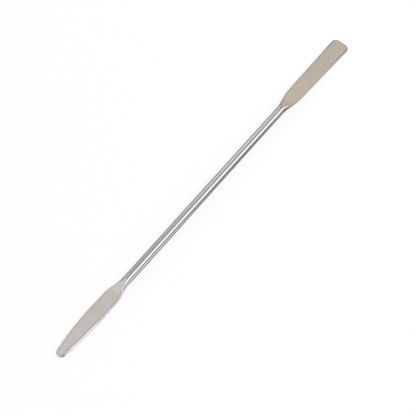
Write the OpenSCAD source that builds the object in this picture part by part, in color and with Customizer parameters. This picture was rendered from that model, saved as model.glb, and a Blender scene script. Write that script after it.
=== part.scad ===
// Double-ended laboratory micro spatula, forged from one round stainless steel rod.
//
// Millimetres. The spatula lies along X, the tapered blade at -X, level with the rod's
// axis, and the square blade at +X. Z = 0 is the surface that it lies on, and the
// origin is below the middle of the length.
//
// Each end is the rod pressed flat between dies, and is one loft. Its plan outline is
// made of tangent arcs, a line and an eased shoulder. At each station of the outline
// the edge is a piece of an ellipse, which the upper and the lower flat cut off. On
// the rod it is the whole half circle. Along the press step the flats cut in quickly
// at first, so that each opens out of the round rod as a blunt tongue, and on the
// blade they leave a fine crease where they meet the rounded edge.
//
// The square blade is set down a little from the rod's axis, so that its end lies on
// the surface with the rod and keeps the spatula from rolling.

/* [Overall] */
// Length over both blades
overall_l = 160; // [130:1:220]
// Diameter of the round rod
rod_d = 3.2; // [2.6:0.1:4]
// Angle round the edge's ellipse, from its middle, at which a blade's flat cuts it
edge_turn = 50; // [40:1:80]

/* [Tapered blade] */
// Distance from the tip to where the shoulder has drawn in to the rod
tapered_l = 35; // [32:0.1:50]
// Width at the widest point
tapered_w = 6.3; // [6.1:0.1:9]
// Width where the shoulder begins to draw in
tapered_root_w = 6.1; // [4.5:0.1:6.3]
// Distance of the widest point from the tip
tapered_wide_at = 19; // [12:0.5:20]
// Radius of the round tip in plan
tip_r = 1.8; // [1:0.1:2.4]
// Thickness over the widest part
tapered_t = 1.4; // [0.8:0.05:1.8]
// Thickness at the tip
tip_t = 0.7; // [0.4:0.05:0.8]
// How far the rounded edge stands out from the flat, from the tip to the middle
tapered_edge_w = 0.8; // [0.3:0.05:1.2]
// How far it stands out where the shoulder begins
tapered_root_edge_w = 0.5; // [0.3:0.05:1.2]
// Length of the shoulder
tapered_shoulder_l = 8.7; // [5:0.5:10]
// Distance from the tip to where the flat runs out on the rod
tapered_flat_l = 36; // [32:0.1:50]
// Length of the press step that flattens the rod
tapered_step_l = 7.6; // [5:0.1:10]

/* [Square blade] */
// Distance from the end to where the shoulder has drawn in to the rod
square_l = 39.2; // [30:0.1:50]
// Width at the square end
square_w = 7; // [6:0.1:9]
// Width where the shoulder begins to draw in
square_root_w = 5.9; // [4.5:0.1:6]
// Radius of the two corners in plan
corner_r = 2; // [1:0.1:2.5]
// How far the end edge bows out between the corners
end_crown = 0.12; // [0.05:0.01:0.4]
// Thickness of the blade
square_t = 1; // [0.7:0.05:1.6]
// Thickness at the end edge
square_end_t = 0.8; // [0.5:0.05:0.8]
// Length over which the end edge thins
square_thin_l = 10; // [4:0.5:20]
// How far the rounded edge stands out from the flat
square_edge_w = 0.35; // [0.2:0.05:0.8]
// Length of the shoulder
square_shoulder_l = 9.3; // [5:0.5:10]
// Distance from the end to where the flat runs out on the rod
square_flat_l = 38.5; // [30:0.1:50]
// Length of the press step that flattens the rod
square_step_l = 6.6; // [4:0.1:10]
// Length over which the blade bends down from the rod's axis
square_bend_l = 13; // [6:0.5:18]

/* [Hidden] */

rod_r = rod_d / 2;

// Number of facets over an edge, and of stations along each stretch of an outline
edge_steps = 12;
shoulder_steps = 16;
flank_steps = 10;
arc_steps = 9;

// Each loft reaches this far into the rod, inside its surface by the second value,
// and meets its end face inside the rim by the third
spigot_l = 0.8;
spigot_in = 0.3;
rim_in = 0.004;

// The power of the press with which the flats cut in. A smaller one makes the tongue
// blunter.
tongue_power = 0.25;

// Eases from 0 to 1, level at both ends
function ease(p) = let (q = min(1, max(0, p))) q * q * (3 - 2 * q);
// Rises from 0 to 1, level where it ends
function rise(p) = let (q = min(1, max(0, p))) q * (2 - q);
function mix(a, b, p) = a + (b - a) * p;
function steps(a, b, n) = [for (i = [0 : n - 1]) mix(a, b, i / n)];

// --- Tapered blade: half-width, thickness and outline, by distance s from the tip

// The flank is one arc that leaves the tip's circle tangentially and is level at the
// widest point
flank_r = (pow(tapered_wide_at - tip_r, 2) + pow(tapered_w / 2, 2) - pow(tip_r, 2))
    / (tapered_w - 2 * tip_r);
// Angle round the tip's circle, from the foremost point, to where the flank leaves it
tip_sweep = acos((tapered_wide_at - tip_r) / (flank_r - tip_r));
tapered_shoulder_at = tapered_l - tapered_shoulder_l;

function flank_half(s) =
    tapered_w / 2 - flank_r + sqrt(pow(flank_r, 2) - pow(tapered_wide_at - s, 2));
function waist_half(s) = mix(tapered_w / 2, tapered_root_w / 2,
    rise((s - tapered_wide_at) / (tapered_shoulder_at - tapered_wide_at)));
function tapered_half(s) = mix(s < tapered_wide_at ? flank_half(s) : waist_half(s),
    rod_r, ease((s - tapered_shoulder_at) / tapered_shoulder_l));
function tapered_thick(s) = mix(tip_t, tapered_t, rise(s / tapered_wide_at));
// The edge narrows over the half of the blade that is nearer to the shoulder
function tapered_edge(s) = mix(tapered_edge_w, tapered_root_edge_w,
    ease(2 * s / tapered_shoulder_at - 1));

tapered_root = max(tapered_l, tapered_flat_l);
tapered_outline = let (
        shoulder_end = min(tapered_shoulder_at, tapered_flat_l - tapered_step_l),
        flank_end = tip_r * (1 - cos(tip_sweep)))
    [
        for (s = steps(tapered_root, shoulder_end, shoulder_steps)) [s, tapered_half(s)],
        for (s = steps(shoulder_end, tapered_wide_at, flank_steps)) [s, tapered_half(s)],
        for (s = steps(tapered_wide_at, flank_end, flank_steps)) [s, tapered_half(s)],
        for (a = steps(tip_sweep, 0, arc_steps)) tip_r * [1 - cos(a), sin(a)],
        [0, 0]
    ];

// --- Square blade: the same, by distance s from its end

square_shoulder_at = square_l - square_shoulder_l;
square_flare = (square_root_w - square_w) / 2 / square_shoulder_at;
// The end edge is an arc of this radius, with its centre on the axis
crown_r = (pow(square_w / 2, 2) + pow(end_crown, 2)) / (2 * end_crown);
// Centre of the corner's arc, which is tangent to the end edge and to the side
corner_in = corner_r * sqrt(1 + pow(square_flare, 2));
corner_s = let (
        k = square_w / 2 - corner_in,
        a = 1 + pow(square_flare, 2),
        b = square_flare * k - crown_r,
        c = pow(crown_r, 2) + pow(k, 2) - pow(crown_r - corner_r, 2))
    (-b - sqrt(pow(b, 2) - a * c)) / a;
corner_y = square_w / 2 + square_flare * corner_s - corner_in;
// Angles from the foremost direction at which the corner's arc starts and ends
corner_from = acos(square_flare / sqrt(1 + pow(square_flare, 2)));
corner_to = asin(corner_y / (crown_r - corner_r));

function square_half(s) = mix(square_w / 2 + square_flare * s,
    rod_r, ease((s - square_shoulder_at) / square_shoulder_l));
function square_thick(s) = mix(square_end_t, square_t, rise(s / square_thin_l));

// How far the blade's middle plane lies below the rod's axis. The slope eases in from
// where the flat starts, then stays the same, and the lower flat ends at Z = 0.
square_slope = (rod_r - square_thick(square_edge_w) / 2)
    / (square_flat_l - square_bend_l / 2 - square_edge_w);
function square_drop(s) = let (
        q = min(1, max(0, (square_flat_l - s) / square_bend_l)))
    square_slope * (square_bend_l * (pow(q, 3) - pow(q, 4) / 2)
        + max(0, square_flat_l - square_bend_l - s));

square_root = max(square_l, square_flat_l);
square_outline = let (
        shoulder_end = min(square_shoulder_at, square_flat_l - square_step_l),
        side_end = corner_s - corner_r * cos(corner_from))
    [
        for (s = steps(square_root, shoulder_end, shoulder_steps)) [s, square_half(s)],
        for (s = steps(shoulder_end, side_end, flank_steps)) [s, square_half(s)],
        for (a = steps(corner_from, corner_to, arc_steps))
            [corner_s, corner_y] + corner_r * [-cos(a), sin(a)],
        for (a = steps(corner_to, 0, arc_steps)) crown_r * [1 - cos(a), sin(a)],
        [0, 0]
    ];

// --- Loft of one end

// Outward direction at each point of an outline: across the rod at the root, along
// it at the foremost point, and square to the chord of the neighbours between them
function outward(outline) = [
    for (i = [0 : len(outline) - 1])
        i == 0 ? [0, 1] :
        i == len(outline) - 1 ? [-1, 0] :
        let (d = outline[i + 1] - outline[i - 1]) [d.y, -d.x] / norm(d)
];

// How much of the rod's roundness is left at a distance s from the end
function roundness(s, flat_l, step_l) = ease((s - flat_l + step_l) / step_l);

// The roll of the edge at one station: from the upper flat round the edge to the lower
// one, on an ellipse that grows from the blade's own to the rod's circle
function roll(point, out, half_t, edge_w, round_share) = let (
        turn = 90 - (90 - edge_turn) * pow(max(0, 1 - round_share), tongue_power),
        tall = mix(half_t / sin(edge_turn), rod_r, round_share),
        wide = mix(edge_w / (1 - cos(edge_turn)), rod_r, round_share))
    [
        for (a = [0 : edge_steps]) let (
                lift = turn * (1 - 2 * a / edge_steps),
                p = point - out * wide * (1 - cos(lift)))
            [p.x, p.y, tall * sin(lift)]
    ];

function other_side(ring) = [for (p = ring) [p.x, -p.y, p.z]];
// A ring across the rod, inside its surface: both rolls, without the points they share
function round_ring(s, r) = [
    for (a = [0 : 2 * edge_steps - 1])
        let (lift = 90 - 180 * a / edge_steps) [s, r * cos(lift), r * sin(lift)]
];

// One pressed end. Its foremost point is at the origin and the rod runs off along +X.
// `rolls` holds the roll of the edge at each station on the +Y side, from the rod to
// the foremost point.
module pressed_end(rolls, root) {
    n = len(rolls) - 1;
    m = edge_steps;
    row = m + 1;
    // Points: the +Y rolls, then the -Y rolls, then the two rings of the spigot
    near = 0;
    far = (n + 1) * row;
    rim = 2 * far;
    inner = rim + 2 * m;
    points = [
        for (r = rolls) each r,
        for (r = rolls) each other_side(r),
        each round_ring(root, rod_r - rim_in),
        each round_ring(root + spigot_l, rod_r - spigot_in)
    ];
    // The two sides share their points at the foremost station and on the rod's axis
    function left(i, j) = near + i * row + j;
    function right(i, j) = i == n ? left(i, j) : far + i * row + j;
    function ring(start, j) = start + (j + 2 * m) % (2 * m);
    walls = [
        for (i = [1 : n - 1], j = [0 : m - 1]) each [
            [left(i, j), left(i + 1, j + 1), left(i, j + 1)],
            [left(i, j), left(i + 1, j), left(i + 1, j + 1)],
            [right(i, j), right(i, j + 1), right(i + 1, j + 1)],
            [right(i, j), right(i + 1, j + 1), right(i + 1, j)]
        ]
    ];
    // From the rim, where the section is round, to the first station of the flats
    run_out = [
        for (j = [0 : m - 1]) each [
            [ring(rim, j), left(1, j + 1), ring(rim, j + 1)],
            [ring(rim, j), left(1, j), left(1, j + 1)],
            [ring(rim, -j), ring(rim, -j - 1), right(1, j + 1)],
            [ring(rim, -j), right(1, j + 1), right(1, j)]
        ],
        [ring(rim, 0), right(1, 0), left(1, 0)],
        [ring(rim, m), left(1, m), right(1, m)]
    ];
    flats = [
        for (i = [1 : n - 2]) each [
            [left(i, 0), right(i, 0), right(i + 1, 0), left(i + 1, 0)],
            [left(i, m), left(i + 1, m), right(i + 1, m), right(i, m)]
        ],
        [left(n - 1, 0), right(n - 1, 0), left(n, 0)],
        [left(n - 1, m), left(n, m), right(n - 1, m)]
    ];
    spigot = [
        for (j = [0 : 2 * m - 1]) each [
            [ring(inner, j), ring(rim, j + 1), ring(inner, j + 1)],
            [ring(inner, j), ring(rim, j), ring(rim, j + 1)]
        ],
        [for (j = [0 : 2 * m - 1]) ring(inner, j)]
    ];
    polyhedron(points, concat(walls, run_out, flats, spigot));
}

module tapered_blade() {
    out = outward(tapered_outline);
    rolls = [
        for (i = [0 : len(out) - 1]) let (p = tapered_outline[i])
            roll(p, out[i], tapered_thick(p.x) / 2, tapered_edge(p.x),
                roundness(p.x, tapered_flat_l, tapered_step_l))
    ];
    pressed_end(rolls, tapered_root);
}

module square_blade() {
    out = outward(square_outline);
    rolls = [
        for (i = [0 : len(out) - 1]) let (p = square_outline[i])
            [for (q = roll(p, out[i], square_thick(p.x) / 2, square_edge_w,
                    roundness(p.x, square_flat_l, square_step_l)))
                q - [0, 0, square_drop(q.x)]]
    ];
    pressed_end(rolls, square_root);
}

module rod() {
    from = tapered_root - overall_l / 2;
    to = overall_l / 2 - square_root;
    translate([from, 0, 0])
        rotate([0, 90, 0])
            cylinder(h = to - from, r = rod_r, $fn = 96);
}

module spatula() {
    color([0.74, 0.73, 0.71])
        translate([0, 0, rod_r])
            union() {
                rod();
                translate([-overall_l / 2, 0, 0]) tapered_blade();
                translate([overall_l / 2, 0, 0]) rotate([0, 0, 180]) square_blade();
            }
}

spatula();
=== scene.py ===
# %% [markdown]
# # A double-ended lab spatula, forged from one steel rod
#
# The real tool starts as a polished stainless rod, 3.2 mm thick and 16 cm long. Each end is heated and
# pressed flat between dies: one becomes a tapered, round-tipped blade, the other a narrow blade with a
# straight end. The faces are then linished to a satin, while the rod and the rolled edges stay bright.
#
# It could be built from a cylinder and two boxes joined by booleans, but then the shoulders, where round
# steel turns into flat steel, would show a seam. Here the whole tool is one surface of two parameters:
# the first walks along its outline, the second goes round its edge from the top face to the bottom face.

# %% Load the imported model
import math

import bpy
import numpy as np
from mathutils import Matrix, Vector


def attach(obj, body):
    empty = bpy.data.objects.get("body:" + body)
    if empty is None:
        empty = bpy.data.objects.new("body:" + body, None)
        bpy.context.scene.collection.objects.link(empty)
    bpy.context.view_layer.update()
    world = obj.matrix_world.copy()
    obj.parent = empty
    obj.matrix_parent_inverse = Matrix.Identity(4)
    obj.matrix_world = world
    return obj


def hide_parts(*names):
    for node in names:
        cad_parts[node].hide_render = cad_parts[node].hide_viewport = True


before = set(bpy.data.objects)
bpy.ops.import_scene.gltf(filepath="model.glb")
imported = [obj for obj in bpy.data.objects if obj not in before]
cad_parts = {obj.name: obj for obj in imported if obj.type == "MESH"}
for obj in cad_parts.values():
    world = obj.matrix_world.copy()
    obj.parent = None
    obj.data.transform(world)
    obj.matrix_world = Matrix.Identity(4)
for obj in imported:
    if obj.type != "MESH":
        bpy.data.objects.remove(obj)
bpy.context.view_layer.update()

# %% [markdown]
# ## The maker's sizes
#
# A blade is measured from its own end towards the rod, so both blades can share the same rules: how far
# the blade reaches, how wide it is at its belly and its root, how thick it is, and over what length the
# round rod is pressed down to the flat. All sizes are millimetres; the mesh is scaled to metres once, at
# the end, so that the numbers stay the ones on a workshop drawing.

# %% Sizes of the rod and the two blades, in millimetres
MM = 0.001
tool_length = 160.0
rod_radius = 1.6

tapered = dict(
    length=35.0, belly_width=6.3, root_width=6.1, belly_at=19.0, tip_radius=1.8,
    edge_thick=0.7, thick=1.4, thin_length=19.0, edge_reach=0.8, root_reach=0.5,
    shoulder=8.7, flat_length=36.0, press_length=7.6,
)
square = dict(
    length=39.2, end_width=7.0, root_width=5.9, corner_radius=2.0, end_crown=0.12,
    edge_thick=0.8, thick=1.0, thin_length=10.0, edge_reach=0.35, root_reach=0.35,
    shoulder=9.3, flat_length=38.5, press_length=6.6, bend_length=13.0,
)
edge_turn = math.radians(50.0)
print("rod", 2 * rod_radius, "mm, blades", tapered["length"], "and", square["length"], "mm")

# %% [markdown]
# ## Curves that start and stop softly
#
# Forged steel has no corners along its length: a width or a thickness changes along an S-shaped curve.
# Splines would do, but two small polynomials are easier to read and to repeat elsewhere.


# %% Easing curves
def soft_step(share):
    """An S-curve from 0 to 1: three times the square less twice the cube, flat at both ends."""
    p = np.clip(share, 0.0, 1.0)
    return p * p * (3.0 - 2.0 * p)


def soft_rise(share):
    """Half a parabola from 0 to 1: twice the share less its square, flat only at its far end."""
    p = np.clip(share, 0.0, 1.0)
    return p * (2.0 - p)


def blend(start, end, weight):
    """A straight mix of two values: start where the weight is 0, end where it is 1."""
    return start + (end - start) * weight


print("soft step of a quarter:", float(soft_step(0.25)))

# %% [markdown]
# ## The outline of the tapered blade
#
# Seen from above, the tip is a small circle. A long arc of several centimetres' radius leaves it in the
# same direction and bulges to the belly, a gentle waist leads back to the root, and the shoulder swings
# in to the rod. Tangent arcs are how such a die is drawn, so the flank's radius is worked out from the
# tip and the belly instead of being guessed.


# %% Half width of the tapered blade
def flank_radius(blade):
    """The arc that touches the tip circle and is square to the axis at the belly."""
    run = blade["belly_at"] - blade["tip_radius"]
    half = blade["belly_width"] / 2
    return (run**2 + half**2 - blade["tip_radius"] ** 2) / (2 * (half - blade["tip_radius"]))


def shoulder_blend(blade, s, half):
    """The blade's own half width, eased into the rod's radius over the shoulder's length."""
    from_root = s - (blade["length"] - blade["shoulder"])
    return blend(half, rod_radius, soft_step(from_root / blade["shoulder"]))


def tapered_half_width(s):
    """Half width at s from the tip: the flank's arc up to the belly, then a parabola to the root."""
    blade, radius = tapered, flank_radius(tapered)
    half = blade["belly_width"] / 2
    arc = half - radius + np.sqrt(np.maximum(radius**2 - (blade["belly_at"] - s) ** 2, 0.0))
    waist_run = blade["length"] - blade["shoulder"] - blade["belly_at"]
    waist = blend(half, blade["root_width"] / 2, soft_rise((s - blade["belly_at"]) / waist_run))
    return shoulder_blend(blade, s, np.where(s < blade["belly_at"], arc, waist))


tip_sweep = math.acos(
    (tapered["belly_at"] - tapered["tip_radius"]) / (flank_radius(tapered) - tapered["tip_radius"])
)
print(f"flank radius {flank_radius(tapered):.1f} mm, tip circle {math.degrees(tip_sweep):.1f} degrees")

# %% [markdown]
# ## The outline of the square blade
#
# Its sides open out a little towards the end, the end itself is crowned by a tenth of a millimetre, and a
# 2 mm arc rounds each corner. A bevel could round the corners, but the arc that touches both a straight
# side and a crowned end has an exact place: its centre lies one radius inside the side and one radius
# inside the crown, which makes a quadratic equation.


# %% Half width and rounded corner of the square blade
square_flare = (square["root_width"] - square["end_width"]) / 2 / (square["length"] - square["shoulder"])
crown_radius = ((square["end_width"] / 2) ** 2 + square["end_crown"] ** 2) / (2 * square["end_crown"])


def square_half_width(s):
    """Half width at s from the end: a straight, slightly flared side, then the shoulder."""
    return shoulder_blend(square, s, square["end_width"] / 2 + square_flare * s)


def corner_arc():
    """Centre of the corner's arc, and its first and last angle, from the crown round to the side."""
    r, half = square["corner_radius"], square["end_width"] / 2
    inset = half - r * math.hypot(1.0, square_flare)
    a = 1.0 + square_flare**2
    b = square_flare * inset - crown_radius
    c = crown_radius**2 + inset**2 - (crown_radius - r) ** 2
    along = (-b - math.sqrt(b * b - a * c)) / a
    across = inset + square_flare * along
    first = math.asin(across / (crown_radius - r))
    last = math.acos(square_flare / math.hypot(1.0, square_flare))
    return along, across, first, last


print("corner centre %.2f mm from the end, %.2f mm off the axis" % corner_arc()[:2])

# %% [markdown]
# ## One outline from tip to end
#
# The half outline runs along one side only: round the tip, along the flank, down the shoulder, along the
# rod, up the other shoulder, along the straight side, round the corner and over the crowned end. Stations
# are packed where the line turns quickly and spread where it is straight, so few of them do the work.


# %% Stations along the half outline
counts = dict(tip=22, flank=36, waist=24, shoulder=64, rod=60, side=44, corner=22, crown=18)


def spaced(start, end, count):
    """Evenly spaced values from start, leaving out the last so that the next run can begin there."""
    return np.linspace(start, end, count, endpoint=False)


def tapered_stations():
    """Distance from the tip and half width: the tip circle by its angle, the rest by length."""
    r = tapered["tip_radius"]
    turn = spaced(0.0, tip_sweep, counts["tip"])
    joint, belly = r * (1 - math.cos(tip_sweep)), tapered["belly_at"]
    root = tapered["length"] - tapered["shoulder"]
    s = np.concatenate([
        spaced(joint, belly, counts["flank"]), spaced(belly, root, counts["waist"]),
        spaced(root, tapered["flat_length"], counts["shoulder"]),
    ])
    return (np.concatenate([r * (1 - np.cos(turn)), s]),
            np.concatenate([r * np.sin(turn), tapered_half_width(s)]))


def square_stations():
    """Distance from the end and half width: crown and corner by their angles, the rest by length."""
    along, across, first, last = corner_arc()
    r = square["corner_radius"]
    over, turn = spaced(0.0, first, counts["crown"]), spaced(first, last, counts["corner"])
    root = square["length"] - square["shoulder"]
    s = np.concatenate([
        spaced(along - r * math.cos(last), root, counts["side"]),
        spaced(root, square["length"], counts["shoulder"]),
    ])
    crown = crown_radius * (1 - np.cos(over)), crown_radius * np.sin(over)
    corner = along - r * np.cos(turn), across + r * np.sin(turn)
    return (np.concatenate([crown[0], corner[0], s]),
            np.concatenate([crown[1], corner[1], square_half_width(s)]))


tip_s, tip_half = tapered_stations()
end_s, end_half = square_stations()
rod_from, rod_to = tapered["flat_length"] - tool_length / 2, tool_length / 2 - square["length"]
rod_x = np.linspace(rod_from, rod_to, counts["rod"])
outline_x = np.concatenate([tip_s - tool_length / 2, rod_x, (tool_length / 2 - end_s)[::-1]])
outline_y = np.concatenate([tip_half, np.full(rod_x.size, rod_radius), end_half[::-1]])
print(outline_x.size, "stations, widest half width", round(float(outline_y.max()), 3), "mm")

# %% [markdown]
# ## Thickness, and how far the rod is pressed
#
# At each station the section is a flat, a rounded edge and a flat. The rounded edge is a piece of an
# ellipse. On the rod it turns through the whole half circle; on a blade the flat cuts it off at 50 degrees,
# which leaves a fine crease between face and edge. The turn changes with the fourth root of the press, so
# the flat opens quickly: that draws the blunt tongue of satin that runs up onto the rod.


# %% Section at each station
opening_power = 0.25


def half_thickness(blade, s):
    """Half the blade's own thickness: a rise from the thin end edge to the full thickness."""
    return blend(blade["edge_thick"], blade["thick"], soft_rise(s / blade["thin_length"])) / 2


def section_shape(blade, s):
    """Half height and reach of the edge's ellipse, the angle where the flat cuts it, and the roundness."""
    round_share = soft_step((s - blade["flat_length"] + blade["press_length"]) / blade["press_length"])
    half_thick = half_thickness(blade, s)
    root = blade["length"] - blade["shoulder"]
    edge_reach = blend(blade["edge_reach"], blade["root_reach"], soft_step(2 * s / root - 1.0))
    turn = math.pi / 2 - (math.pi / 2 - edge_turn) * np.maximum(1.0 - round_share, 0.0) ** opening_power
    tall = blend(half_thick / math.sin(edge_turn), rod_radius, round_share)
    wide = blend(edge_reach / (1 - math.cos(edge_turn)), rod_radius, round_share)
    return tall, wide, turn, round_share


tip_shape, end_shape = section_shape(tapered, tip_s), section_shape(square, end_s)
rod_shape = (rod_radius, rod_radius, math.pi / 2, 1.0)
tall, wide, turn, roundness = (
    np.concatenate([tip, np.full(rod_x.size, rod), end[::-1]])
    for tip, rod, end in zip(tip_shape, rod_shape, end_shape)
)
height = tall * np.sin(turn)
print("half thickness from", round(float(height.min()), 2), "to", round(float(height.max()), 2), "mm")

# %% [markdown]
# ## The direction out of the outline
#
# The roll leans outwards, square to the outline. The outline's slope comes from finite differences over
# its own length; turning it a quarter gives the outward direction. At the tip and at the end the two
# halves meet, and there the direction is straight along the tool.


# %% Length along the outline and the outward direction
steps = np.hypot(np.diff(outline_x), np.diff(outline_y))
run = np.concatenate([[0.0], np.cumsum(steps)])
slope_x, slope_y = np.gradient(outline_x, run), np.gradient(outline_y, run)
size = np.hypot(slope_x, slope_y)
out_x, out_y = -slope_y / size, slope_x / size
out_x[0], out_y[0], out_x[-1], out_y[-1] = -1.0, 0.0, 1.0, 0.0
print("half outline", round(float(run[-1]), 1), "mm long")

# %% [markdown]
# ## Setting the square blade down on the table
#
# Lying at rest, the tool touches the table with its rod. The square blade is bent down by about two
# degrees, so its end touches as well and the tool doesn't rock. The bend is spread over 13 mm: its slope
# is an S-curve, and the drop is that curve's integral, a polynomial again.


# %% The bend of the square blade
set_down = (rod_radius - half_thickness(square, square["edge_reach"])) / (
    square["flat_length"] - square["bend_length"] / 2 - square["edge_reach"]
)


def drop(x):
    """How far the surface sinks at x: the integral of the S-curve over the bend, then a straight slope."""
    s = tool_length / 2 - x
    past = square["flat_length"] - s
    q = np.clip(past / square["bend_length"], 0.0, 1.0)
    straight = np.maximum(past - square["bend_length"], 0.0)
    return set_down * (square["bend_length"] * (q**3 - q**4 / 2) + straight)


print(f"the square blade lies {math.degrees(math.atan(set_down)):.2f} degrees down")

# %% [markdown]
# ## The surface
#
# The second parameter goes from the middle of the top face out to the roll, round it and back under. Equal
# steps would leave the small rolls coarse and the wide flats dense, so a step on the roll counts three
# times. The share of each station's flat changes smoothly along the tool, and with it the grid lines
# slide from the flat into the round without ever bunching up to a point.

# %% Half surface as a grid of stations by section points
section_points = 96
roll_weight = 3.0
crease_round = 0.05

flat = np.maximum(outline_y - out_y * wide * (1.0 - np.cos(turn)), 0.0)[:, None]
arc = (2 * turn * np.sqrt((wide**2 + tall**2) / 2))[:, None]
reach = 2 * flat + roll_weight * arc
place = np.linspace(0.0, 1.0, section_points + 1)[None, :] * reach
lift = turn[:, None] * (1.0 - 2.0 * np.clip((place - flat) / (roll_weight * arc), 0.0, 1.0))
inset = wide[:, None] * (1.0 - np.cos(lift))

grid_x = outline_x[:, None] - out_x[:, None] * inset
grid_y = np.where(place < flat, place, np.where(place > reach - flat, reach - place,
                                                outline_y[:, None] - out_y[:, None] * inset))
steep = (tall / wide / np.tan(turn))[:, None]
inside = np.maximum(flat - np.minimum(place, reach - place), 0.0)
gap = np.where(inside > 0.0, steep * inside, height[:, None] - tall[:, None] * np.abs(np.sin(lift)))
soft = (crease_round * np.cos(turn))[:, None] + 1e-9
rounded = np.maximum(soft - gap, 0.0) ** 2 / (4 * soft)
grid_z = tall[:, None] * np.sin(lift)
grid_z = grid_z - np.sign(grid_z) * rounded
print("grid", grid_x.shape, "half thickness up to", round(float(grid_z.max()), 2), "mm")

# %% [markdown]
# ## What the press and the belt leave behind
#
# No pressed blade is truly flat. The die leaves the faces about a hundredth of a millimetre wavy, and the
# belt that finishes the edges never runs quite straight. Bump mapping could hint at it, but a real change
# of shape also moves the reflections and the outline, so it goes into the mesh: sums of a few sine waves
# with lengths that don't divide each other. They die out on the drawn rod, and the edge's waves also where
# the outline closes at either end.


# %% Hand-finishing waves
face_wave, face_lengths = 0.012, (11.0, 7.1, 4.7)
edge_wave, edge_lengths = 0.022, (9.3, 5.9, 3.7)
slant_step, start_step = 7.3, 5.1
calm_half_width = 1.2


def waves(along, across, lengths, seeds):
    """Mean of sines over oblique lines: each has its own wave length, start and slant."""
    total = 0.0
    for length, seed in zip(lengths, seeds):
        slant = math.sin(slant_step * seed)
        total = total + np.sin(2 * math.pi * (along + slant * across) / length + start_step * seed)
    return total / len(lengths)


on_blade = 1.0 - roundness[:, None]
near_edge = np.clip(grid_y / np.maximum(outline_y[:, None], 1e-6), 0.0, 1.0)
upper = np.clip(np.sin(lift) / np.sin(turn)[:, None], -1.0, 1.0)
grid_z = grid_z - drop(grid_x) + rod_radius
grid_z = grid_z + face_wave * on_blade * upper**2 * waves(grid_x, grid_y, face_lengths, (1, 2, 3))
wobble = edge_wave * on_blade * waves(run[:, None], 0.0, edge_lengths, (4, 5, 6))
fade = soft_step(outline_y / calm_half_width)[:, None]
grid_y = grid_y - np.abs(wobble) * near_edge**3 * fade
print("faces wavy by", face_wave, "mm, edges by", edge_wave, "mm")

# %% [markdown]
# ## Both halves in one closed skin
#
# The other half is the same grid with y turned round. Along the centre line, at the tip and at the end the
# two grids share their points, so those are numbered once and used by both: the skin comes out closed,
# with no doubles to merge. The mirrored faces are listed the other way round, so they face outwards too.


# %% Number the points and list the faces
def closed_skin(x, y, z):
    """Points and quads of a grid and its mirror image, sharing the grid's rim."""
    rows, cols = x.shape
    near = np.arange(rows * cols).reshape(rows, cols)
    inner = np.zeros((rows, cols), bool)
    inner[1:-1, 1:-1] = True
    far = near.copy()
    far[inner] = rows * cols + np.arange(int(inner.sum()))
    y = y.copy()
    y[~inner] = 0.0
    points = np.stack([x, y, z], axis=-1).reshape(-1, 3)
    points = np.concatenate([points, points[inner.ravel()] * (1.0, -1.0, 1.0)])
    quads = np.stack([near[:-1, :-1], near[1:, :-1], near[1:, 1:], near[:-1, 1:]], axis=-1)
    mirrored = np.stack([far[:-1, :-1], far[:-1, 1:], far[1:, 1:], far[1:, :-1]], axis=-1)
    return points, np.concatenate([quads.reshape(-1, 4), mirrored.reshape(-1, 4)]), inner


points, quads, inner = closed_skin(grid_x, grid_y, grid_z)
print(len(points), "points,", 2 * len(quads), "triangles")

# %% [markdown]
# ## A map of the finish
#
# The satin ends where the flat rolls over, and the material needs to know where that is, finer than the
# faces can say. Painting vertices would blur it. Instead a UV map holds two measures: how many millimetres
# a point lies past the edge of the flat, and how round the section is there, from 0 on a blade to 1 on the
# rod. Both change evenly across a face, so a line drawn at zero is crisp at any size. Where a tongue climbs
# the rod the satin ends a little before the flat does, because a belt only rubs what stands level with it.
# At the thin tip the belt gives way and runs over the roll, so there the satin spills past the flat.

# %% Measures for the finish map
margin_tapered, margin_square = 0.22, 0.30
spill, spill_from, spill_run = 0.30, -76.5, 2.5

tongue_margin = np.where(grid_x < 0.0, margin_tapered, margin_square)
tip_spill = spill * soft_step((spill_from - grid_x) / spill_run)
half_place = np.minimum(place, reach - place)
past_flat = np.where(half_place < flat, half_place - flat, (half_place - flat) / roll_weight)
past_flat = past_flat + tongue_margin * roundness[:, None] - tip_spill
finish = np.stack([past_flat, np.broadcast_to(roundness[:, None], past_flat.shape)], axis=-1)
finish = np.concatenate([finish.reshape(-1, 2), finish[inner]])
print("past the flat, mm:", round(float(past_flat.min()), 2), "to", round(float(past_flat.max()), 2))

# %% [markdown]
# ## The mesh and its place in the frame
#
# Blender could build the skin face by face, but whole arrays are handed over at once by foreach_set, which
# is quicker and leaves no loop to get wrong. The object stays at the origin, unturned and unscaled, and its
# place is in its points. It rides on the tool's one body and stands in for the plain CAD node.


# %% Make the mesh
def mesh_object(name, points, quads):
    """A new object at the origin whose mesh holds the points, in metres, and the quads."""
    mesh = bpy.data.meshes.new(name)
    mesh.vertices.add(len(points))
    mesh.vertices.foreach_set("co", np.asarray(points, np.float32).ravel())
    mesh.loops.add(quads.size)
    mesh.loops.foreach_set("vertex_index", quads.ravel().astype(np.int32))
    mesh.polygons.add(len(quads))
    mesh.polygons.foreach_set("loop_start", np.arange(0, quads.size, 4, dtype=np.int32))
    mesh.polygons.foreach_set("use_smooth", np.ones(len(quads), bool))
    mesh.update(calc_edges=True)
    mesh.validate()
    piece = bpy.data.objects.new(name, mesh)
    bpy.context.scene.collection.objects.link(piece)
    return piece


spatula_body = mesh_object("forged_spatula_body", points * MM, quads)
finish_map = spatula_body.data.uv_layers.new(name="finish_map")
finish_map.data.foreach_set("uv", finish[quads.ravel()].astype(np.float32).ravel())
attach(spatula_body, "root")
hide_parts("spatula")

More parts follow.
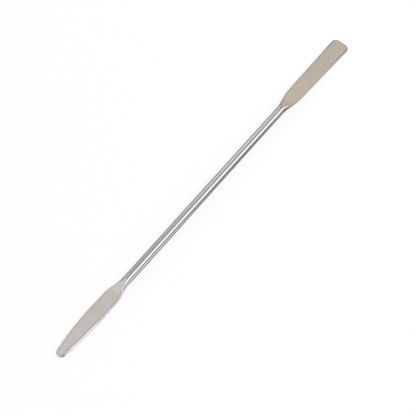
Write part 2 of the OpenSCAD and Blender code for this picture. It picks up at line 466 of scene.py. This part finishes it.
# %% [markdown]
# ## Small tools for node trees
#
# Every finish below is a tree of shader nodes. A few short helpers keep the trees readable: one makes a
# node, one feeds a socket with a number or with another node's output, and others wrap the nodes that turn
# up everywhere. Nodes made by a script all land on one spot, so a finished tree is set out in columns.


# %% Helpers for nodes
def node(tree, kind, **settings):
    """A new node with its settings."""
    made = tree.nodes.new(kind)
    for key, value in settings.items():
        setattr(made, key, value)
    return made


def feed(tree, value, socket):
    """A link if the value is another node's output, else a plain number or colour on the socket."""
    if isinstance(value, bpy.types.NodeSocket):
        tree.links.new(value, socket)
    else:
        socket.default_value = value


def calculate(tree, operation, *values):
    """One Math node over one or two values."""
    made = node(tree, "ShaderNodeMath", operation=operation)
    for value, socket in zip(values, made.inputs):
        feed(tree, value, socket)
    return made.outputs[0]


def mask(tree, source, low, high, curve="SMOOTHSTEP"):
    """0 at low, 1 at high, and an S-curve between them; with LINEAR, a straight line."""
    ramp = node(tree, "ShaderNodeMapRange", interpolation_type=curve)
    for value, name in ((source, "Value"), (low, "From Min"), (high, "From Max")):
        feed(tree, value, ramp.inputs[name])
    return ramp.outputs["Result"]


def mix(tree, weight, low, high, kind="FLOAT"):
    """A straight mix of two values: low where the weight is 0, high where it is 1."""
    mixer = node(tree, "ShaderNodeMix", data_type=kind)
    first, result = (2, 0) if kind == "FLOAT" else (6, 2)
    for value, index in ((weight, 0), (low, first), (high, first + 1)):
        feed(tree, value, mixer.inputs[index])
    return mixer.outputs[result]


def mix_colours(tree, weight, low, high):
    """The same mix for two colours."""
    return mix(tree, weight, low, high, "RGBA")


def object_axes(tree):
    """Object coordinates, whole and split into X, Y and Z."""
    spot = node(tree, "ShaderNodeTexCoord").outputs["Object"]
    split = node(tree, "ShaderNodeSeparateXYZ")
    tree.links.new(spot, split.inputs[0])
    return spot, split.outputs


def noise(tree, spot, scale, detail, roughness=0.5):
    """Noise between 0 and 1, at a scale in features per metre."""
    made = node(tree, "ShaderNodeTexNoise")
    for value, name in ((spot, "Vector"), (scale, "Scale"), (detail, "Detail"), (roughness, "Roughness")):
        feed(tree, value, made.inputs[name])
    return made.outputs["Fac"]


print("helpers for Math, Map Range, Mix, Object coordinates and Noise")

# %% Beginning and end of a material
column_width, row_height = 220, 190


def new_material(name):
    """A material with an empty tree, and the tree."""
    material = bpy.data.materials.new(name)
    material.use_nodes = True
    material.node_tree.nodes.clear()
    return material, material.node_tree


def set_out(tree):
    """Columns from right to left, so that a node stands left of everything it feeds."""
    column = {item.name: 0 for item in tree.nodes}
    for _ in tree.nodes:
        for link in tree.links:
            source, target = link.from_node.name, link.to_node.name
            column[source] = max(column[source], column[target] + 1)
    filled = {}
    for item in tree.nodes:
        place = column[item.name]
        filled[place] = filled.get(place, 0) + 1
        item.location = (-column_width * place, -row_height * filled[place])


def close_material(tree, shader):
    """The output node behind the last shader, and the tree set out in columns."""
    output = node(tree, "ShaderNodeOutputMaterial")
    tree.links.new(shader, output.inputs["Surface"])
    set_out(tree)


print("columns", column_width, "and rows", row_height, "units apart")

# %% [markdown]
# ## Fine lines in steel
#
# Both the drawn rod and the linished faces carry fine lines along the tool, only of different depth and
# spacing. An image of scratches would blur up close, so the lines are noise squeezed along X: it changes
# many times faster across the tool than along it. As both finishes use it, it is a node group.


# %% The line group
line_detail, line_roughness = 4.0, 0.65
band_scale, band_detail = 0.21, 2.0


def drawn_lines_group():
    """Noise stretched along X: Lines out is 0 to 1, and coarser Bands ride under it."""
    tree = bpy.data.node_groups.new("drawn_lines", "ShaderNodeTree")
    for name, start in (("Across", 4000.0), ("Along", 60.0)):
        socket = tree.interface.new_socket(name, in_out="INPUT", socket_type="NodeSocketFloat")
        socket.default_value = start
    for name in ("Lines", "Bands"):
        tree.interface.new_socket(name, in_out="OUTPUT", socket_type="NodeSocketFloat")
    inputs, outputs = node(tree, "NodeGroupInput"), node(tree, "NodeGroupOutput")
    scale = node(tree, "ShaderNodeCombineXYZ")
    for source, target in (("Along", "X"), ("Across", "Y"), ("Across", "Z")):
        tree.links.new(inputs.outputs[source], scale.inputs[target])
    squeeze = node(tree, "ShaderNodeVectorMath", operation="MULTIPLY")
    tree.links.new(node(tree, "ShaderNodeTexCoord").outputs["Object"], squeeze.inputs[0])
    tree.links.new(scale.outputs[0], squeeze.inputs[1])
    fine = noise(tree, squeeze.outputs[0], 1.0, line_detail, line_roughness)
    coarse = noise(tree, squeeze.outputs[0], band_scale, band_detail)
    tree.links.new(fine, outputs.inputs["Lines"])
    tree.links.new(coarse, outputs.inputs["Bands"])
    set_out(tree)
    return tree


drawn_lines = drawn_lines_group()
print("group", drawn_lines.name, "with", len(drawn_lines.nodes), "nodes")

# %% [markdown]
# ## Where each finish lies
#
# One piece of steel has one material, and its finish changes from place to place. Painted vertices could
# carry that, but masks made from the finish map stay sharp at any distance. Each mask below is a row of
# limits: an S-curve that is 0 at the first number and 1 at the second, and where a row has several limits,
# their curves are multiplied. A limit reads one of four measures: millimetres past the flat's edge and the
# share of roundness come from the finish map, and millimetres along X and across Y from the object.


# %% Limits of each finish
finish_limits = {
    "off the face": [("past flat", -0.04, 0.04)],
    "rod beside tapered blade": [("roundness", 0.12, 0.38)],
    "rod beside square blade": [("roundness", 0.50, 0.95)],
    "square half": [("along", -20.0, 20.0)],
    "-Y side": [("across", 1.0, -1.0)],
    # the root row places painted light on the square blade's face
    "root of square blade": [("along", 64.0, 46.0)],
    # the end and corner rows below place painted shade on the square blade's edge
    "shaded end": [("along", 67.0, 77.0)],
    "shaded corner": [("along", 73.5, 79.0), ("across", 1.2, -2.4)],
    # the shoulder and belly rows place painted highlights on the tapered blade's -Y edge
    "shoulder": [("roundness", 0.08, 0.25), ("roundness", 1.0, 0.96), ("past flat", 1.2, 0.8)],
    "belly": [("along", -76.5, -74.5), ("along", -60.0, -66.0)],
    "tip mark": [("across", -0.9, -1.2), ("along", -77.9, -78.6)],
    # the tongue end row places painted shade at the tip of each satin tongue
    "tongue end": [("roundness", 0.93, 0.98), ("roundness", 1.0, 0.998), ("past flat", 0.40, 0.20)],
}
measure_units = {"past flat": 1.0, "roundness": 1.0, "along": MM, "across": MM}


def finish_measures(tree):
    """The four measures as outputs, and the whole Object coordinates for noise."""
    finish_split = node(tree, "ShaderNodeSeparateXYZ")
    tree.links.new(node(tree, "ShaderNodeUVMap", uv_map="finish_map").outputs["UV"], finish_split.inputs[0])
    spot, axes = object_axes(tree)
    return spot, {
        "past flat": finish_split.outputs["X"], "roundness": finish_split.outputs["Y"],
        "along": axes["X"], "across": axes["Y"],
    }


def finish_masks(tree, measures):
    """One output for each row of the table: the product of its S-curves."""
    masks = {}
    for name, limits in finish_limits.items():
        for measure, low, high in limits:
            unit = measure_units[measure]
            curve = mask(tree, measures[measure], low * unit, high * unit)
            masks[name] = calculate(tree, "MULTIPLY", masks[name], curve) if name in masks else curve
    masks["rod"] = mix(tree, masks["square half"], masks["rod beside tapered blade"],
                       masks["rod beside square blade"])
    return masks


print(len(finish_limits), "masks from", sum(len(row) for row in finish_limits.values()), "S-curves")

# %% [markdown]
# ## Satin faces
#
# The belt leaves a fine grain and slow clouds of tone, so a single colour would look like paint. Each blade
# mixes two close tones by a slow noise, and the grain and the clouds lighten and darken the result. The
# blades differ, as heat and press treated them differently: the square one is the warmer and darker.
# Towards its root it is a little paler, which is painted light.


# %% Colour of the satin
satin_tapered = ((0.768, 0.731, 0.660, 1.0), (0.775, 0.727, 0.682, 1.0))
satin_square = ((0.765, 0.68, 0.555, 1.0), (0.755, 0.68, 0.575, 1.0))
grain_scale, grain_detail, grain_depth = 1700.0, 3.0, 0.50
cloud_scale, cloud_detail, cloud_depth = 210.0, 2.0, 0.10
cloud_limits = (0.35, 0.65)
# painted light: a lighter tone on the square blade's face towards its root
root_painted_light = 1.08


def swing(tree, share, depth):
    """A factor that swings about 1, by half the depth to either side."""
    return mix(tree, share, 1 - depth / 2, 1 + depth / 2)


def satin_colour(tree, spot, masks, grain):
    """Each blade's two tones mixed by the clouds, times the grain, the clouds and the painted light on the
    square root.
    """
    cloud = noise(tree, spot, cloud_scale, cloud_detail)
    warm = mask(tree, cloud, *cloud_limits)
    satin = mix_colours(tree, masks["square half"], mix_colours(tree, warm, *satin_tapered),
                        mix_colours(tree, warm, *satin_square))
    pale = calculate(tree, "MULTIPLY", masks["root of square blade"], masks["square half"])
    tone = calculate(tree, "MULTIPLY", swing(tree, grain, grain_depth), swing(tree, cloud, cloud_depth))
    tone = calculate(tree, "MULTIPLY", tone, mix(tree, pale, 1.0, root_painted_light))
    toned = node(tree, "ShaderNodeVectorMath", operation="SCALE")
    tree.links.new(satin, toned.inputs[0])
    tree.links.new(tone, toned.inputs["Scale"])
    return toned.outputs[0]


print("satin grain of", round(1000 / grain_scale, 2), "mm, clouds of", round(1000 / cloud_scale, 1), "mm")

# %% [markdown]
# ## Bright rod, rolled edges and their marks
#
# The rod is a bright, nearly colourless polish. The rolled edges are half bright. Round the end of the
# square blade they carry painted shade, darkest at its -Y corner. The tapered blade's -Y edge carries
# painted highlights at the shoulder and between the belly and the tip, and the tip has a small dark speck
# on its -Y edge. Such marks could be pieces of their own; as colours laid over each other in one tree they
# follow the surface by themselves.


# %% Colour of rod and edges
bright_steel = (0.62, 0.62, 0.62, 1.0)
edge_tapered, edge_square = (0.70, 0.68, 0.65, 1.0), (0.605, 0.57, 0.52, 1.0)
# painted shade: a darker edge colour round the square blade's end, darkest at its -Y corner
end_shade_steel, corner_shade_steel = (0.37, 0.355, 0.332, 1.0), (0.25, 0.245, 0.23, 1.0)
# painted highlight: a brighter colour on the tapered blade's -Y edge at the shoulder and towards the tip
painted_highlight_steel, tip_speck = (0.80, 0.80, 0.79, 1.0), (0.30, 0.30, 0.28, 1.0)


def edge_colour(tree, masks):
    """Edge colours of the two blades and the rod, with painted shade, painted highlights and a dark speck
    laid over them one after the other.
    """
    straight = mix_colours(tree, masks["shaded end"], edge_square, end_shade_steel)
    pressed = mix_colours(tree, masks["square half"], edge_tapered, straight)
    edge = mix_colours(tree, masks["rod"], pressed, bright_steel)
    shoulder_highlight = calculate(tree, "MULTIPLY", masks["shoulder"], masks["-Y side"])
    tapered_half = mix(tree, masks["square half"], 1.0, 0.0)
    for place, colour in (
        (calculate(tree, "MULTIPLY", shoulder_highlight, tapered_half), painted_highlight_steel),
        (calculate(tree, "MULTIPLY", masks["belly"], masks["-Y side"]), painted_highlight_steel),
        # a small dark speck on the -Y edge at the tip
        (masks["tip mark"], tip_speck),
        (masks["shaded corner"], corner_shade_steel),
    ):
        edge = mix_colours(tree, place, edge, colour)
    return edge


# In this printed list, burnish is painted highlight, the end and corner are painted shade, and scale is the
# tip's dark speck.
print("edge colours: rod, two blades, shaded end and corner, burnish, scale")

# %% [markdown]
# ## The dark rim along the crease
#
# A narrow rim of painted shade runs along the crease, where face and edge meet. It is strongest on the -Y
# side of the tapered blade and round the square blade's end, and painted shade also closes the tip of each
# satin tongue. It follows the distance past the flat, not a texture, so it keeps its width of a few
# tenths of a millimetre all the way round.


# %% Rim
# painted shade: one dark colour along the crease and at the tongues' tips, with its strength set by place
crease_shade_steel = (0.42, 0.42, 0.41, 1.0)
rim_middle, rim_core, rim_fade = -0.06, 0.14, 0.32
rim_near, rim_far, rim_square, rim_end, tongue_end_shade = 0.62, 0.12, 0.35, 0.75, 0.85


def crease_shaded_colour(tree, base, past_flat_measure, masks):
    """The base colour, darkened by painted shade within rim_core of the rim's middle and at the end of each
    tongue.
    """
    off_middle = calculate(tree, "ABSOLUTE", calculate(tree, "ADD", past_flat_measure, -rim_middle))
    line = mask(tree, off_middle, rim_fade, rim_core)
    strength = mix(tree, masks["square half"], mix(tree, masks["-Y side"], rim_far, rim_near),
                   mix(tree, masks["shaded end"], rim_square, rim_end))
    crease_shade_weight = calculate(tree, "MULTIPLY", line, mix(tree, masks["rod"], strength, 0.0))
    tongue_shade_weight = mix(tree, masks["tongue end"], 0.0, tongue_end_shade)
    return mix_colours(tree, tongue_shade_weight, mix_colours(tree, crease_shade_weight, base, crease_shade_steel), crease_shade_steel)


print("rim", round(2 * rim_core, 2), "mm wide, faded out over", round(rim_fade - rim_core, 2), "mm")

# %% [markdown]
# ## Polish and relief
#
# How sharply a place mirrors the room says as much about it as its colour. The satin and the edges are
# rough enough to blur the room to one tone, while the rod keeps its stripes and only its coarse bands
# dull it a little. The same grain and lines raise the surface by thousandths of a millimetre through a
# bump, because a change that small would need millions of faces in the mesh.


# %% Roughness and relief
satin_rough, rod_rough = (0.28, 0.42), (0.07, 0.15)
edge_rough_tapered, edge_rough_square = 0.40, 0.35
satin_line_scales, rod_line_scales = (5200.0, 220.0), (3000.0, 9.0)
rod_line_height, relief_height = 0.1, 6e-6


def line_outputs(tree, across, along):
    """The line group placed in the tree with its two scales."""
    group = node(tree, "ShaderNodeGroup", node_tree=drawn_lines)
    group.inputs["Across"].default_value = across
    group.inputs["Along"].default_value = along
    return group.outputs


def roughness_and_relief(tree, masks, grain):
    """Roughness of satin, edge and rod by place, and the bump's normal from grain and lines."""
    satin_lines = line_outputs(tree, *satin_line_scales)
    rod_lines = line_outputs(tree, *rod_line_scales)
    blade_rough = mix(tree, masks["square half"], edge_rough_tapered, edge_rough_square)
    edge_rough = mix(tree, masks["rod"], blade_rough, mix(tree, rod_lines["Bands"], *rod_rough))
    rough = mix(tree, masks["off the face"], mix(tree, satin_lines["Lines"], *satin_rough), edge_rough)
    height = mix(tree, masks["off the face"], mix(tree, grain, 0.0, satin_lines["Lines"]),
                 mix(tree, rod_lines["Lines"], 0.0, rod_line_height))
    relief = node(tree, "ShaderNodeBump")
    relief.inputs["Distance"].default_value = relief_height
    tree.links.new(height, relief.inputs["Height"])
    return rough, relief.outputs["Normal"]


print("roughness of satin", satin_rough, "and of the rod", rod_rough)

# %% [markdown]
# ## The steel, put together
#
# Face and edge meet at the crease, the rim is laid over both, and everything feeds one metallic shader.
# Its metallic value is the same all over, so it is set on the shader's own socket.


# %% Steel material
def steel_material():
    """Satin faces, rolled edges and a polished rod in one metal, told apart by the finish map."""
    material, tree = new_material("pressed_stainless_steel")
    metal = node(tree, "ShaderNodeBsdfPrincipled")
    metal.inputs["Metallic"].default_value = 1.0
    spot, measures = finish_measures(tree)
    masks = finish_masks(tree, measures)
    grain = noise(tree, spot, grain_scale, grain_detail)
    base = mix_colours(tree, masks["off the face"], satin_colour(tree, spot, masks, grain),
                       edge_colour(tree, masks))
    rough, normal = roughness_and_relief(tree, masks, grain)
    tree.links.new(crease_shaded_colour(tree, base, measures["past flat"], masks), metal.inputs["Base Color"])
    tree.links.new(rough, metal.inputs["Roughness"])
    tree.links.new(normal, metal.inputs["Normal"])
    close_material(tree, metal.outputs["BSDF"])
    return material


steel = steel_material()
spatula_body.data.materials.append(steel)
print("material", steel.name, "with", len(steel.node_tree.nodes), "nodes")

# %% [markdown]
# ## Table and room
#
# The tool lies on a plain pale table in a white studio. An image of a room as background would put its own
# stripes into the polished rod, so the surroundings are kept to what can be named: a pale floor that takes
# the shadow, a white room that the metal sees, two soft lamps, a striped tent and strips on the table.


# %% Floor
floor_half, floor_drop = 4.0, 0.00003
floor_colour = (0.96, 0.96, 0.96, 1.0)
near_lift, white_from, white_full = 0.8, 0.3, 1.2


def sees_white(tree):
    """1 for rays from the camera, from reflections and through glass, which see the plain white."""
    path = node(tree, "ShaderNodeLightPath").outputs
    seen = calculate(tree, "MAXIMUM", path["Is Camera Ray"], path["Is Glossy Ray"])
    return calculate(tree, "MAXIMUM", seen, path["Is Transmission Ray"])


def far_white(tree, colour):
    """Diffuse colour near the tool, eased into plain white far away for camera and reflections."""
    diffuse = node(tree, "ShaderNodeBsdfDiffuse")
    diffuse.inputs["Color"].default_value = colour
    length = node(tree, "ShaderNodeVectorMath", operation="LENGTH")
    tree.links.new(node(tree, "ShaderNodeTexCoord").outputs["Object"], length.inputs[0])
    away = mask(tree, length.outputs["Value"], white_from, white_full)
    weight = calculate(tree, "MULTIPLY", sees_white(tree), mix(tree, away, near_lift, 1.0))
    mixed = node(tree, "ShaderNodeMixShader")
    white = node(tree, "ShaderNodeEmission")
    for value, socket in zip((weight, diffuse.outputs[0], white.outputs[0]), mixed.inputs):
        tree.links.new(value, socket)
    return mixed.outputs[0]


def level_board(name, x_from, x_to, y_from, y_to, z):
    """A flat board of one face that looks up."""
    corners = [(x_from, y_from, z), (x_to, y_from, z), (x_to, y_to, z), (x_from, y_to, z)]
    return mesh_object(name, np.array(corners), np.array([[0, 1, 2, 3]]))


floor = level_board("pale_table", -floor_half, floor_half, -floor_half, floor_half, -floor_drop)
floor_paint, tree = new_material("pale_table_paint")
close_material(tree, far_white(tree, floor_colour))
floor.data.materials.append(floor_paint)
print("floor", 2 * floor_half, "m square")

# %% White room
world_level = 0.60

world = bpy.data.worlds.new("white_studio")
bpy.context.scene.world = world
world.use_nodes = True
tree = world.node_tree
tree.nodes.clear()
background = node(tree, "ShaderNodeBackground")
background.inputs["Color"].default_value = (1.0, 1.0, 1.0, 1.0)
tree.links.new(mix(tree, sees_white(tree), world_level, 1.0), background.inputs["Strength"])
tree.links.new(background.outputs[0], node(tree, "ShaderNodeOutputWorld").inputs["Surface"])
set_out(tree)
print("room light level", world_level)

# %% [markdown]
# ## A tent of light
#
# A polished rod is a mirror that squeezes the whole room into stripes. In a studio they are controlled with
# a tent: white cloth lit from outside, with dark strips between. Here the tent is one half tube along
# the tool, painted with stripes. A stripe has a first and a last angle, in degrees from the near horizon
# over the top to the far one, and a level. The two ends of a long tool see different parts of a room, so
# each zone along the tube has its own row of stripes. A dark flag low beyond the tip and grey cloth
# beyond the square end give the rounded ends their dark sides. Only reflections see the tent, so the light
# on the table stays soft and even.

# %% Tent stripes
tent_radius, tent_from, tent_to = 1.0, -3.5, 4.0
tent_first, tent_last = -2.0, 182.0
tent_peak, black = 2.6, 0.02
tent_stripes = {
    "beyond the tip": ((-2, 37, black), (76, 182, 0.9)),
    "dark flag": ((-2, 37, black), (64, 76, 1.2), (84, 100, 0.6), (114, 118, 1.0),
                  (128, 138, 0.4), (149, 151, 1.4), (167, 182, black)),
    "tapered blade": ((-2, 4, 1.8), (18, 31, 0.2), (43, 46, 1.9), (62, 76, 1.2), (84, 100, 0.6),
                      (114, 118, 1.0), (128, 138, 0.4), (149, 151, 1.4), (167, 182, black)),
    "tapered half": ((-2, 0, 1.9), (16, 33, black), (43, 46, 2.1), (62, 66, 1.5), (84, 114, 0.6),
                     (127, 129, black), (149, 151, 1.4), (166, 182, 0.15)),
    "square half": ((-2, 20, black), (34, 66, 1.6), (76, 84, 0.5), (96, 100, 0.8), (116, 118, 0.15),
                    (138, 151, 1.6), (168, 182, 0.05)),
    "square blade": ((-2, 0, 0.2), (8, 18, 0.6), (28, 66, 1.5), (76, 84, 0.4), (97, 107, 0.8),
                     (116, 128, 0.4), (138, 151, 1.2), (168, 182, 0.05)),
    "beyond the end": ((-2, 37, 0.3), (62, 66, 1.4), (76, 84, 0.4), (96, 100, 0.7),
                       (116, 162, 0.35), (172, 182, 0.05)),
}
tent_joins = ((-0.75, -0.50), (-0.30, -0.12), (0.12, 0.20), (0.22, 0.45), (0.455, 0.53), (1.1, 1.5))
print("tent of", len(tent_stripes), "zones,", sum(map(len, tent_stripes.values())), "stripes")

# %% [markdown]
# ## Cloth that glows in stripes
#
# A colour ramp turns one number into stripes. Each row of stripes gets a ramp, and S-curves along X mix one
# ramp into the next. Lamps behind cloth could do it too, with more noise in the render.


# %% Striped cloth
def stripe_ramp(tree, share, stripes, place_of):
    """A colour ramp that is level across each stripe and eases straight into the next."""
    ramp = node(tree, "ShaderNodeValToRGB")
    ends = [(place_of(end), level) for first, last, level in stripes for end in (first, last)]
    stops = ramp.color_ramp.elements
    while len(stops) < len(ends):
        stops.new(0.5)
    for stop, (place, level) in zip(stops, ends):
        stop.position = place
        stop.color = (level / tent_peak,) * 3 + (1.0,)
    tree.links.new(share, ramp.inputs["Fac"])
    return ramp.outputs["Color"]


def striped_cloth(name, share_across, place_of, rows, joins):
    """Glowing cloth: one ramp for each row of stripes, eased into the next over each join along X."""
    material, tree = new_material(name)
    axes = object_axes(tree)[1]
    share = share_across(tree, axes)
    ramps = [stripe_ramp(tree, share, stripes, place_of) for stripes in rows.values()]
    cloth = ramps[0]
    for ramp, join in zip(ramps[1:], joins):
        cloth = mix_colours(tree, mask(tree, axes["X"], *join), cloth, ramp)
    glow = node(tree, "ShaderNodeEmission")
    glow.inputs["Strength"].default_value = tent_peak
    tree.links.new(cloth, glow.inputs["Color"])
    close_material(tree, glow.outputs[0])
    return material


def only_reflections(board):
    """Camera, light and shadow pass through it; reflections don't."""
    board.visible_camera = board.visible_diffuse = board.visible_shadow = False
    board.visible_transmission = board.visible_volume_scatter = False


print("a level of 1 is painted as", round(1 / tent_peak, 2), "of the cloth's glow")


# %% The tent itself
def tent_surface(radius, x_from, x_to, lengths=12, turns=92):
    """Half tube: the point at an angle above the -Y horizon and a place along X."""
    angle = np.radians(np.linspace(tent_first, tent_last, turns + 1))
    x, a = np.meshgrid(np.linspace(x_from, x_to, lengths + 1), angle, indexing="ij")
    points = np.stack([x, -radius * np.cos(a), radius * np.sin(a)], axis=-1).reshape(-1, 3)
    index = np.arange(x.size).reshape(x.shape)
    quads = np.stack([index[:-1, :-1], index[:-1, 1:], index[1:, 1:], index[1:, :-1]], axis=-1)
    return points, quads.reshape(-1, 4)


def share_of_tube(tree, axes):
    """The angle above the -Y horizon, as a share of the tube's whole turn."""
    angle = calculate(tree, "ARCTAN2", axes["Z"], calculate(tree, "MULTIPLY", axes["Y"], -1.0))
    return mask(tree, angle, math.radians(tent_first), math.radians(tent_last), "LINEAR")


def place_on_tube(angle):
    """The same share for an angle in degrees."""
    return (angle - tent_first) / (tent_last - tent_first)


tent = mesh_object("light_tent", *tent_surface(tent_radius, tent_from, tent_to))
tent.data.materials.append(
    striped_cloth("tent_cloth", share_of_tube, place_on_tube, tent_stripes, tent_joins))
only_reflections(tent)
print("tent", tent_to - tent_from, "m long,", tent_radius, "m in radius")

# %% [markdown]
# ## Strips on the table
#
# The lower half of a polished rod mirrors the table that it lies on: dark close beside it, where the rod
# keeps the light off, and pale farther out. That draws the dark line along both edges of the rod. The floor
# is lit too evenly for it, so strips lie on the table for reflections only. A strip has a first and a last
# distance from the tool's axis, in millimetres, and a level, and each zone has its own row. The places are
# squeezed, as y over |y| plus 5 mm, so that one ramp serves near and far.


# %% Strips on the table
strip_from, strip_to, strip_near, strip_far = -0.20, 0.25, -0.08, 0.06
strip_lift, strip_warp = 0.00002, 5.0
table_strips = {
    "beyond the tip": ((-80, 60, 0.15),),
    "tapered blade": ((-80, -3, 1.1), (2, 60, 0.9)),
    "tapered half": ((-80, -30, 1.3), (-12, -11, 0.4), (-6, -5, 1.4), (-3.3, -2, black),
                     (2, 2.5, 0.3), (5, 12, 0.5), (50, 60, 0.7)),
    "square half": ((-80, -70, black), (-30, -7, 0.5), (-5.5, -4.5, 0.2), (-3.3, -2, 0.5),
                    (2, 2.2, 0.05), (5, 5.5, 0.4), (12, 60, 0.7)),
}
strip_joins = ((-0.083, -0.0795), (-0.050, -0.042), (-0.026, 0.006))


def share_of_table(tree, axes):
    """y over |y| plus the warp, as a share between the two far edges."""
    warped = calculate(tree, "ADD", calculate(tree, "ABSOLUTE", axes["Y"]), strip_warp * MM)
    return mask(tree, calculate(tree, "DIVIDE", axes["Y"], warped), -1.0, 1.0, "LINEAR")


def place_on_table(y):
    """The same share for a distance in millimetres."""
    return 0.5 + 0.5 * y / (abs(y) + strip_warp)


strips = level_board("table_strips", strip_from, strip_to, strip_near, strip_far, strip_lift)
strips.data.materials.append(
    striped_cloth("strip_cloth", share_of_table, place_on_table, table_strips, strip_joins))
only_reflections(strips)
print("table strips:", len(table_strips), "zones,", sum(map(len, table_strips.values())), "strips")

# %% [markdown]
# ## Lamps
#
# The lamps light the table and cast the soft shadow. They stand where the tent is bright, so the shadow
# agrees with the highlights, but the metal sees only the tent.


# %% Two soft lamps
def soft_lamp(name, angle, distance, x, wide, tall, radiance):
    """An area lamp facing the tool, at an angle above the -Y horizon."""
    a = math.radians(angle)
    place = Vector((x, -math.cos(a) * distance, math.sin(a) * distance))
    data = bpy.data.lights.new(name, "AREA")
    data.shape = "RECTANGLE"
    data.size, data.size_y = wide, tall
    data.energy = radiance * math.pi * wide * tall
    lamp = bpy.data.objects.new(name, data)
    bpy.context.scene.collection.objects.link(lamp)
    lamp.location = place
    lamp.rotation_euler = Vector((0.0, place.y, place.z)).to_track_quat("Z", "Y").to_euler()
    lamp.visible_camera = lamp.visible_glossy = False


soft_lamp("long_softbox", angle=57, distance=1.1, x=0.3, wide=1.4, tall=0.7, radiance=2.2)
soft_lamp("far_softbox", angle=148, distance=1.1, x=0.3, wide=1.4, tall=0.4, radiance=1.5)

# %% [markdown]
# ## Camera
#
# The camera looks down at the table at 65 degrees from beside the tapered blade, with a lens long enough
# to keep the two blades nearly the same size. Its up direction is turned so that the tool lies across the
# picture from the lower left to the upper right.

# %% Place the camera
tilt, turn = math.radians(65.0), math.radians(50.863)
aim, distance = np.array([-5.436, -3.926, 0.0]), 421.1
focal_length, sensor_width = 102.73, 36.0

back = np.array([-math.sin(turn) * math.cos(tilt), -math.cos(turn) * math.cos(tilt), math.sin(tilt)])
lens_data = bpy.data.cameras.new("camera")
lens_data.lens, lens_data.sensor_width = focal_length, sensor_width
lens_data.clip_start, lens_data.clip_end = 0.05, 20.0
camera = bpy.data.objects.new("camera", lens_data)
bpy.context.scene.collection.objects.link(camera)
camera.location = Vector((aim + back * distance) * MM)
camera.rotation_euler = Vector(back).to_track_quat("Z", "Y").to_euler()
bpy.context.scene.camera = camera
bpy.context.scene.view_settings.view_transform = "Standard"
print("camera", [round(c, 4) for c in camera.location])
